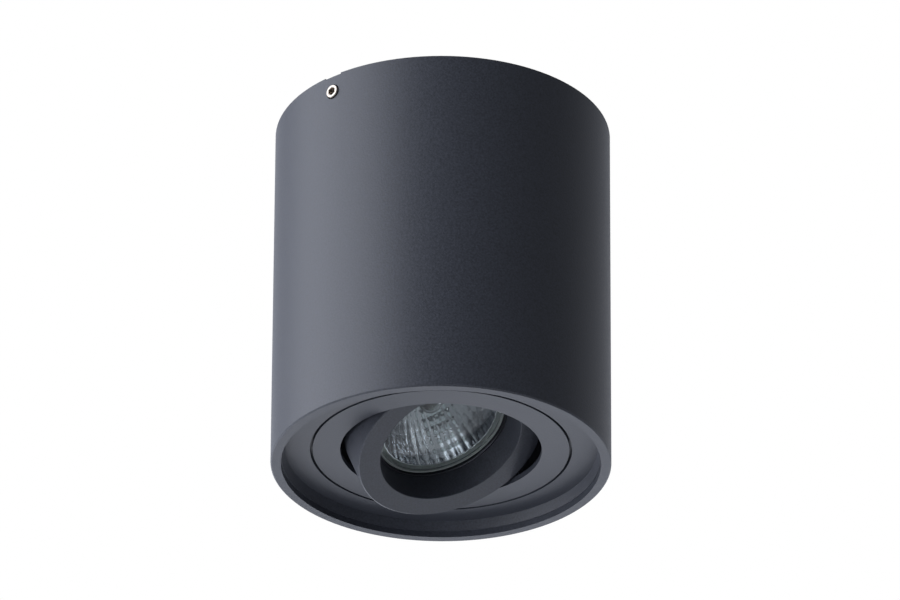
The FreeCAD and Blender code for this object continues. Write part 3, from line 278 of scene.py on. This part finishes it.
def braided_glass(base):
    """Glass fibre braid in two crossing lays of glass thread, on a sleeve about the Z axis: white, dry and
    ribbed. Where the weave dips, its colour is darkened toward black as painted shade in the hollows of the
    braid.
    """
    pitch = 1.2 * MM
    yarns = 8.0  # round the sleeve, in each lay
    material, tree, shader = shaded("braided_glass", base, {"Roughness": 0.7})
    place = add(tree, "ShaderNodeTexCoord")
    part = add(tree, "ShaderNodeSeparateXYZ", {"Vector": place.outputs["Object"]})
    around = add(tree, "ShaderNodeMath", {0: part.outputs["Y"], 1: part.outputs["X"]}, operation="ARCTAN2")
    around = add(tree, "ShaderNodeMath", {0: around.outputs[0], 1: yarns}, operation="MULTIPLY")
    along = add(tree, "ShaderNodeMath", {0: part.outputs["Z"], 1: 2 * math.pi / pitch}, operation="MULTIPLY")
    lays = []
    for lean in ("ADD", "SUBTRACT"):
        phase = add(tree, "ShaderNodeMath", {0: along.outputs[0], 1: around.outputs[0]}, operation=lean)
        lays.append(add(tree, "ShaderNodeMath", {0: phase.outputs[0]}, operation="SINE"))
    weave = add(tree, "ShaderNodeMath", {0: lays[0].outputs[0], 1: lays[1].outputs[0]}, operation="MULTIPLY")
    bump = add(tree, "ShaderNodeBump", {"Height": weave.outputs[0], "Distance": 0.08 * MM})
    tree.links.new(bump.outputs["Normal"], shader.inputs["Normal"])
    # Painted shade: the base colour is darkened toward black by up to three tenths where the weave is lowest,
    # in the hollows between the crossing lays.
    weave_shade = add(tree, "ShaderNodeMapRange", {"Value": weave.outputs[0], "From Min": -1.0, "To Min": 0.7})
    shades = {"A": (0, 0, 0, 1), "B": (*base, 1)}
    tone = add(tree, "ShaderNodeMix", {"Factor": weave_shade.outputs[0], **shades}, data_type="RGBA")
    tree.links.new(tone.outputs["Result"], shader.inputs["Base Color"])
    return material


def clear_glass(name, base, roughness):
    """Pressed or drawn glass: clear, with very slight waves in its faces."""
    sockets = {"Roughness": roughness, "IOR": 1.5, "Transmission Weight": 1.0}
    material, tree, shader = shaded(name, base, sockets)
    place = add(tree, "ShaderNodeTexCoord")
    wave = 6 * MM
    noise = add(
        tree, "ShaderNodeTexNoise", {"Vector": place.outputs["Object"], "Scale": 1 / wave, "Detail": 1.0}
    )
    bump = add(tree, "ShaderNodeBump", {"Height": noise.outputs["Fac"], "Distance": 0.01 * MM})
    tree.links.new(bump.outputs["Normal"], shader.inputs["Normal"])
    return material


def ground_glass(base):
    """The rim's glass, ground flat where the front glass is cemented on: grey, dull and slightly clear."""
    return grained("ground_glass", base, 0.4 * MM, 0.006 * MM, 0.12, (0.3, 0.45), Transmission_Weight=0.35)


def reflector_coat(base):
    """Aluminium evaporated on pressed glass: a mirror that takes the glass's orange-peel texture."""
    return grained("reflector_coat", base, 0.9 * MM, 0.003 * MM, 0.04, (0.03, 0.08), Metallic=1.0)


# Shapes. A mesh's fineness: steps round a facet, from row to row, on the roll and round the filament's turn.
FACET_STEPS = 8
ROW_STEPS = 7
ROLL_STEPS = 4
SHELL_STEPS = 16
COIL_STEPS = 18
COIL_SIDES = 6


def dress(material, *nodes):
    """Gives CAD nodes their finish."""
    for name in nodes:
        for slot in NODES[name].material_slots:
            slot.material = material


def new_piece(name, bm, materials, body, replaced):
    """A finished mesh as a piece that stands for a CAD node and moves with its body."""
    mesh = bpy.data.meshes.new(name)
    bm.to_mesh(mesh)
    bm.free()
    for material in materials:
        mesh.materials.append(material)
    piece = bpy.data.objects.new(name, mesh)
    bpy.context.scene.collection.objects.link(piece)
    if body:
        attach(piece, body)
    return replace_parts(piece, replaced)


def cup_frame(sizes):
    """The cup's own frame: its origin on the pivot axis, its X along that axis, its -Z the lamp's aim."""
    axis = Vector(TILT_JOINT["axis"]).normalized()
    turned = Matrix.Rotation(math.atan2(axis.y, axis.x), 4, "Z")
    return Matrix.Translation(TILT_JOINT["pos_m"]) @ turned @ Matrix.Rotation(-sizes.tilt, 4, "X")


def arc(first, last, radius, steps):
    """Points (radius, height) on an arc from first to last, which bulges away from the axis."""
    first, last = Vector(first), Vector(last)
    half = (last - first) / 2
    inward = Vector((-half.y, half.x)).normalized()
    if inward.x > 0:
        inward.negate()
    centre = first + half + inward * math.sqrt(radius**2 - half.length_squared)
    arm = first - centre
    turn = arm.angle_signed(last - centre)
    return [centre + Matrix.Rotation(-turn * step / steps, 2) @ arm for step in range(steps + 1)]


def spun(bm, profile, steps):
    """Turns a profile of (radius, height, share) points about Z. A point keeps its share in a layer."""
    layer = bm.verts.layers.float.new("share")
    verts = []
    for radius, height, share in profile:
        verts.append(bm.verts.new((radius, 0, height)))
        verts[-1][layer] = share
    edges = [bm.edges.new(pair) for pair in zip(verts, verts[1:] + verts[:1])]
    bmesh.ops.spin(
        bm, geom=verts + edges, axis=(0, 0, 1), cent=(0, 0, 0), angle=2 * math.pi, steps=steps, use_merge=True
    )
    return layer


TOUCH = 0.001 * MM  # points closer than this are one


def outward(bm):
    """Joins the points that touch and turns the faces outwards."""
    bmesh.ops.remove_doubles(bm, verts=bm.verts, dist=TOUCH)
    bmesh.ops.recalc_face_normals(bm, faces=bm.faces)


def bowl_profile(sizes):
    """The coated surface from the ledge to the hole: a small roll, then rows of hollows. A point's share is
    how far the hollow of its row goes there."""
    samples = 400  # on the curve that the rows are taken from
    mouth = Vector((sizes.rim_radius - sizes.glass_border - sizes.glass_ledge, sizes.glass_floor))
    roll = sizes.mouth_roll
    points = []
    for step in range(ROLL_STEPS):
        angle = math.pi / 2 * step / ROLL_STEPS
        points.append((mouth.x + roll * (1 - math.sin(angle)), mouth.y + roll * (1 - math.cos(angle)), 1))
    bottom = (sizes.bowl_hole, sizes.bowl_bottom)
    curve = arc(mouth + Vector((0, roll)), bottom, sizes.bowl_inner_curve, samples)
    marks = ROW_STEPS * sizes.facet_rows
    for mark in range(marks + 1):
        row = mark / ROW_STEPS % 1
        share = 1 if mark < ROW_STEPS / 2 else 1 - sizes.row_depth * (2 * row - 1) ** 2
        radius, height = curve[round(mark / marks * samples)]
        points.append((radius, height, share * radius / mouth.x))
    return points


def shell_profile(sizes):
    """The glass behind the coat, from the hole round the neck, the outside and the rim to the ledge."""
    rim = (sizes.rim_radius - sizes.rim_step, sizes.rim_height)
    neck = (sizes.neck_radius, sizes.neck_start)
    outside = arc(rim, neck, sizes.bowl_outer_curve, SHELL_STEPS)
    inner_rim = sizes.rim_radius - sizes.glass_border
    points = [
        (sizes.bowl_hole, sizes.reflector_length),
        (sizes.neck_radius, sizes.reflector_length),
        *reversed(outside),
        (sizes.rim_radius, sizes.rim_height),
        (sizes.rim_radius, sizes.rim_break),
        (sizes.rim_radius - sizes.rim_break, 0),
        (inner_rim, 0),
        (inner_rim, sizes.glass_floor),
    ]
    return [(radius, height, 0) for radius, height in points]


def press_facets(bm, layer, sizes):
    """Pushes the bowl's points out by their hollows, which repeat round the turn."""
    for vert in bm.verts:
        column = math.atan2(vert.co.y, vert.co.x) / (2 * math.pi) * sizes.facet_columns % 1
        hollow = sizes.facet_depth * vert[layer] * (1 - (2 * column - 1) ** 2)
        vert.co += Vector((vert.co.x, vert.co.y, 0)).normalized() * hollow


def smooth(bm, sharp):
    """Smooth shading, with edges sharper than an angle kept hard."""
    for face in bm.faces:
        face.smooth = True
    for edge in bm.edges:
        if len(edge.link_faces) == 2 and edge.calc_face_angle() > sharp:
            edge.smooth = False


# Operators, one for each piece or group of like pieces.


class FinishOperator(bpy.types.Operator):
    """Builds its part from the scene's sizes and finishes"""

    bl_options = {"REGISTER", "UNDO"}

    def execute(self, context):
        self.build(context.scene.spotlight_sizes, context.scene.spotlight_finishes)
        return {"FINISHED"}


class SPOTLIGHT_OT_coated(FinishOperator):
    """Powder coats the housing tube, the face ring, the swivel ring and the cup"""

    bl_idname = "spotlight.coated"
    bl_label = "Coated Parts"

    def build(self, sizes, finishes):
        dress(powder_coat(finishes.coat), "housing_tube", "face_ring", "swivel_ring", "tilt_cup")


class SPOTLIGHT_OT_steel(FinishOperator):
    """Plates the bracket, the retainer ring, the ears and the screws"""

    bl_idname = "spotlight.steel"
    bl_label = "Plated Steel"

    def build(self, sizes, finishes):
        sheet = ("mounting_bracket", "retainer_ring", "pivot_ears", "earth_washer", "lampholder_cover")
        bracket_screws = ("terminal_screws", "block_screws", "earth_screw")
        ring_screws = ("retainer_screws", "ear_screws", "pivot_screws", "lampholder_screws")
        dress(zinc_plate(finishes.zinc), *sheet, *bracket_screws, *ring_screws)
        dress(nickel_plate(finishes.nickel), "side_screws")


class SPOTLIGHT_OT_springs(FinishOperator):
    """Finishes the snap ring and the wire ring that holds the lamp"""

    bl_idname = "spotlight.springs"
    bl_label = "Springs"

    def build(self, sizes, finishes):
        dress(spring_steel(finishes.spring), "snap_ring", "lamp_spring_ring")


class SPOTLIGHT_OT_terminals(FinishOperator):
    """Finishes the terminal block, its barrels, the contacts and the earth lug"""

    bl_idname = "spotlight.terminals"
    bl_label = "Terminals"

    def build(self, sizes, finishes):
        dress(moulded_nylon(finishes.nylon), "terminal_block")
        dress(turned_brass(finishes.brass), "terminal_barrels")
        dress(tinned_copper(finishes.tin), "earth_lug", "lampholder_contacts", "lamp_pins")


class SPOTLIGHT_OT_soft(FinishOperator):
    """Finishes the rubber bush and the fibre rings"""

    bl_idname = "spotlight.soft"
    bl_label = "Rubber and Fibre"

    def build(self, sizes, finishes):
        dress(moulded_rubber(finishes.rubber), "cable_bush")
        dress(pressed_fibre(finishes.fibre), "friction_ring", "pivot_washers")


class SPOTLIGHT_OT_ceramics(FinishOperator):
    """Finishes the lamp's base and the lampholder"""

    bl_idname = "spotlight.ceramics"
    bl_label = "Ceramics"

    def build(self, sizes, finishes):
        dress(steatite(finishes.ceramic), "lamp_base", "lampholder_body")


class SPOTLIGHT_OT_lamp_glass(FinishOperator):
    """Finishes the lamp's front glass and its quartz capsule"""

    bl_idname = "spotlight.lamp_glass"
    bl_label = "Lamp Glass"

    def build(self, sizes, finishes):
        dress(clear_glass("front_glass", finishes.glass, 0.0), "lamp_front_glass")
        dress(clear_glass("quartz", finishes.glass, 0.02), "lamp_capsule")


class SPOTLIGHT_OT_reflector(FinishOperator):
    """Makes the lamp's reflector: a faceted mirror bowl inside a pressed glass shell"""

    bl_idname = "spotlight.reflector"
    bl_label = "Reflector"

    def build(self, sizes, finishes):
        bm = bmesh.new()
        layer = spun(bm, bowl_profile(sizes) + shell_profile(sizes), sizes.facet_columns * FACET_STEPS)
        outward(bm)
        press_facets(bm, layer, sizes)
        for face in bm.faces:
            if not all(vert[layer] for vert in face.verts):
                behind_rim = max(vert.co.z for vert in face.verts) > sizes.rim_height + TOUCH
                face.material_index = 1 if behind_rim else 2
        smooth(bm, math.radians(12))
        bm.transform(cup_frame(sizes) @ Matrix.Translation((0, 0, sizes.lamp_rise)))
        materials = [
            reflector_coat(finishes.mirror),
            clear_glass("pressed_glass", finishes.glass, 0.06),
            ground_glass(finishes.rim),
        ]
        piece = new_piece("faceted_reflector", bm, materials, "lamp_cup", "lamp_reflector")


class SPOTLIGHT_OT_filament(FinishOperator):
    """Winds the filament and finishes its two lead-in wires"""

    bl_idname = "spotlight.filament"
    bl_label = "Filament"

    def build(self, sizes, finishes):
        metal = tungsten_wire(finishes.tungsten)
        dress(metal, "filament_leads")
        bm = bmesh.new()
        start = Matrix.Translation((-sizes.coil_span / 2, sizes.coil_radius, 0))
        ring = bmesh.ops.create_circle(bm, segments=COIL_SIDES, radius=sizes.coil_wire / 2, matrix=start)
        steps = COIL_STEPS * sizes.coil_turns
        bmesh.ops.spin(
            bm,
            geom=ring["verts"] + list(bm.edges),
            axis=(1, 0, 0),
            cent=(-sizes.coil_span / 2, 0, 0),
            dvec=(sizes.coil_span / steps, 0, 0),
            angle=2 * math.pi * sizes.coil_turns,
            steps=steps,
        )
        bmesh.ops.holes_fill(bm, edges=bm.edges, sides=COIL_SIDES)
        outward(bm)
        smooth(bm, math.radians(60))
        bm.transform(cup_frame(sizes) @ Matrix.Translation((0, 0, sizes.coil_height + sizes.lamp_rise)))
        piece = new_piece("wound_filament", bm, [metal], "lamp_cup", "lamp_filament")


def wires(name, routes, materials, stripe, sizes, replaced):
    """Insulated wires on smooth curves through routes in millimetres, as one mesh. Every wire takes the first
    material. Stripe names the faces that take the second one in each run of faces. A run is two faces longer
    than a turn round the wire, so the stripe winds round it in short patches."""
    curve = bpy.data.curves.new(name, "CURVE")
    curve.dimensions = "3D"
    curve.bevel_depth = sizes.wire / 2
    curve.bevel_resolution = 4
    curve.resolution_u = 16
    curve.use_fill_caps = True
    for route in routes:
        spline = curve.splines.new("NURBS")
        spline.points.add(len(route) - 1)
        for point, spot in zip(spline.points, route):
            point.co = (*(Vector(spot) * MM), 1)
        spline.order_u = 3
        spline.use_endpoint_u = True
    drawn = bpy.data.objects.new(name, curve)
    bpy.context.scene.collection.objects.link(drawn)
    evaluated = drawn.evaluated_get(bpy.context.evaluated_depsgraph_get())
    bm = bmesh.new()
    bm.from_mesh(bpy.data.meshes.new_from_object(evaluated))
    bpy.data.objects.remove(drawn)
    run = 4 + 2 * curve.bevel_resolution + 2
    for face in bm.faces:
        face.smooth = len(face.verts) == 4
        if face.index % run in stripe:
            face.material_index = 1
    return new_piece(name, bm, materials, None, replaced)


class SPOTLIGHT_OT_wires(FinishOperator):
    """Runs the wires from the terminals to the lampholder, and finishes the sleeve on the tube's axis"""

    bl_idname = "spotlight.wires"
    bl_label = "Wires"

    def build(self, sizes, finishes):
        live = insulation("live_insulation", finishes.live)
        neutral = insulation("neutral_insulation", finishes.neutral)
        green = insulation("earth_insulation", finishes.earth_green)
        yellow = insulation("earth_stripe", finishes.earth_yellow)
        # Millimetres. The wires stand side by side in the sleeve, where the supply meets the lamp's wires.
        side_step, meet, gap = 1.02, -33, 0.05
        # The terminal block's barrels, from outside the block to where a wire stops in its barrel.
        pitch, barrel_height, outside, stop = 9, -8.5, 13, 24.67
        # The lampholder, in the cup's frame: the axis to a contact, its height, and a height clear of it.
        from_axis, contact, clear = 5, 54.5, 74.2
        into_block = {}
        for pole in (-1, 0, 1):
            into_block[pole] = [(start, pole * pitch, barrel_height) for start in (outside, stop)]
        supply = [
            [(side_step, 0, meet + gap), (side_step, 0, -20.5), (4.5, 6.5, -12), *into_block[1]],
            [(-side_step, 0, meet + gap), (-side_step, 0, -18), (3, -1.8, -10.5), *into_block[0]],
        ]
        # The neutral's material is in these two meshes, but both of a pair's wires show the live one's.
        above = wires("supply_wires", supply, [live, neutral], (), sizes, "supply_leads")
        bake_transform(above)
        cup = cup_frame(sizes)
        lamp = []
        for side in (1, -1):
            spots = [Vector((side * from_axis, 0, height)) for height in (contact, clear)]
            held, freed = (cup @ (spot * MM) / MM for spot in spots)
            down = side * side_step
            lamp.append([held, freed, (side * 3.2, 16, -46.5), (down, 0, -45.5), (down, 0, meet)])
        below = wires("lamp_wires", lamp, [live, neutral], (), sizes, "lamp_leads")
        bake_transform(below)
        earth = [[(4.5, -7, -3.05), (11.5, -7, -3.05), *into_block[-1]]]
        ground = wires("earth_wire", earth, [green, yellow], (0, 1, 6, 7), sizes, "earth_lead")
        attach(ground, "root")
        dress(braided_glass(finishes.sleeve), "lead_sleeve")


class SPOTLIGHT_OT_stage(FinishOperator):
    """Makes the floor, the surround, the lights and the camera"""

    bl_idname = "spotlight.stage"
    bl_label = "Stage"

    def build(self, sizes, finishes):
        bm = bmesh.new()
        place = Matrix.Translation((0, 0, -sizes.floor_drop))
        bmesh.ops.create_grid(bm, x_segments=1, y_segments=1, size=sizes.floor_side / 2, matrix=place)
        mesh = bpy.data.meshes.new("floor")
        bm.to_mesh(mesh)
        bm.free()
        floor = bpy.data.objects.new("floor", mesh)
        bpy.context.scene.collection.objects.link(floor)
        mesh.materials.append(grained("painted_floor", finishes.floor, 4 * MM, 0.05 * MM, 0.01, (0.6, 0.7)))
        make_world()
        make_camera()
        soft_box("key", watts=62.0, stand=(-0.95, 0.28, 0.10), distance=1.5, side=2.4)
        soft_box("edge", watts=2.0, stand=(0.75, -0.62, 0.2), distance=1.5, side=1.4)
        soft_box("sparkle_left", watts=2.2, stand=(-0.45, 0.35, -0.82), distance=1.6, side=0.10)
        soft_box("sparkle_right", watts=2.2, stand=(0.3, 0.1, -0.94), distance=1.6, side=0.10)


# The photograph: where the camera stood, and how far its middle is from the aim.
AIM = Vector((0, 0, -68.5 * MM))
AZIMUTH = math.radians(-49.4)
ELEVATION = math.radians(-28.358)
DISTANCE = 3.2547
LENS = 351.7
SENSOR = 36
CLIP_END = 50
SHIFT = (0.00905, 0.00059)
ROLL = math.radians(0.322)


def away(azimuth, elevation):
    """The direction from the aim to the camera."""
    flat = math.cos(elevation)
    return Vector((math.sin(azimuth) * flat, -math.cos(azimuth) * flat, math.sin(elevation)))


def make_camera():
    data = bpy.data.cameras.new("camera")
    data.lens = LENS
    data.sensor_width = SENSOR
    data.shift_x, data.shift_y = SHIFT
    data.clip_end = CLIP_END
    camera = bpy.data.objects.new("camera", data)
    back = away(AZIMUTH, ELEVATION)
    turn = (-back).to_track_quat("-Z", "Y").to_matrix().to_4x4() @ Matrix.Rotation(ROLL, 4, "Z")
    camera.matrix_world = Matrix.Translation(AIM + back * DISTANCE) @ turn
    bpy.context.scene.collection.objects.link(camera)
    bpy.context.scene.camera = camera


def seen(right, nearer, up):
    """The direction from the light to a place in the studio, as the camera sees it."""
    level = away(AZIMUTH, 0)
    return (Vector((0, 0, 1)).cross(level) * right + level * nearer + Vector((0, 0, up))).normalized()


# The backdrop as the coat sees it: where its middle is, how wide it glows, its light and the room's, and the
# cool tints of both and of the soft boxes.
BACKDROP = (-0.12, -0.90, -0.38)
GLOW_EDGES = (0.35, 0.95)
GLOW = 2.1
ROOM = 0.2
GLOW_TINT = (0.92, 0.96, 1.06)
BOX_TINT = (0.95, 0.98, 1.06)


def make_world():
    """White for the camera. Everything else sees a dim room with a bright backdrop behind the light."""
    world = bpy.data.worlds.new("studio")
    bpy.context.scene.world = world
    world.use_nodes = True
    tree = world.node_tree
    path = add(tree, "ShaderNodeLightPath")
    place = add(tree, "ShaderNodeTexCoord")
    sides = {0: place.outputs["Generated"], 1: seen(*BACKDROP)}
    facing = add(tree, "ShaderNodeVectorMath", sides, operation="DOT_PRODUCT")
    ends = {"From Min": GLOW_EDGES[0], "From Max": GLOW_EDGES[1], "To Min": ROOM, "To Max": GLOW}
    values = {"Value": facing.outputs["Value"], **ends}
    glow = add(tree, "ShaderNodeMapRange", values, interpolation_type="SMOOTHSTEP")
    white = add(tree, "ShaderNodeBackground", {"Color": (1, 1, 1, 1), "Strength": 1.0})
    dim = add(tree, "ShaderNodeBackground", {"Color": (*GLOW_TINT, 1), "Strength": glow.outputs["Result"]})
    shaders = {0: path.outputs["Is Camera Ray"], 1: dim.outputs[0], 2: white.outputs[0]}
    mix = add(tree, "ShaderNodeMixShader", shaders)
    tree.links.new(mix.outputs[0], tree.nodes["World Output"].inputs["Surface"])
    bpy.context.scene.view_settings.view_transform = "Standard"


def soft_box(name, watts, stand, distance, side):
    """A square soft light that faces the object. Its stand is a direction for seen()."""
    data = bpy.data.lights.new(name, "AREA")
    data.energy = watts
    data.color = BOX_TINT
    data.size = side
    light = bpy.data.objects.new(name, data)
    back = seen(*stand)
    turn = back.to_track_quat("Z", "Y").to_matrix().to_4x4()
    light.matrix_world = Matrix.Translation(AIM + back * distance) @ turn
    bpy.context.scene.collection.objects.link(light)


OPERATORS = (
    SPOTLIGHT_OT_coated,
    SPOTLIGHT_OT_steel,
    SPOTLIGHT_OT_springs,
    SPOTLIGHT_OT_terminals,
    SPOTLIGHT_OT_soft,
    SPOTLIGHT_OT_ceramics,
    SPOTLIGHT_OT_lamp_glass,
    SPOTLIGHT_OT_reflector,
    SPOTLIGHT_OT_filament,
    SPOTLIGHT_OT_wires,
    SPOTLIGHT_OT_stage,
)


class SPOTLIGHT_PT_panel(bpy.types.Panel):
    """Lists the spotlight's sizes, colours and operators"""

    bl_label = "Spotlight"
    bl_space_type = "VIEW_3D"
    bl_region_type = "UI"
    bl_category = "Spotlight"

    def draw(self, context):
        for group in (context.scene.spotlight_sizes, context.scene.spotlight_finishes):
            box = self.layout.box()
            for name in group.__annotations__:
                box.prop(group, name)
        for operator in OPERATORS:
            self.layout.operator(operator.bl_idname)


CLASSES = (SpotlightSizes, SpotlightFinishes, *OPERATORS, SPOTLIGHT_PT_panel)


def register():
    for cls in CLASSES:
        bpy.utils.register_class(cls)
    bpy.types.Scene.spotlight_sizes = PointerProperty(type=SpotlightSizes)
    bpy.types.Scene.spotlight_finishes = PointerProperty(type=SpotlightFinishes)


def unregister():
    del bpy.types.Scene.spotlight_finishes
    del bpy.types.Scene.spotlight_sizes
    for cls in reversed(CLASSES):
        bpy.utils.unregister_class(cls)


def main():
    register()
    for operator in OPERATORS:
        group, name = operator.bl_idname.split(".")
        getattr(getattr(bpy.ops, group), name)()
    bpy.context.view_layer.update()


if __name__ == "__main__":
    main()
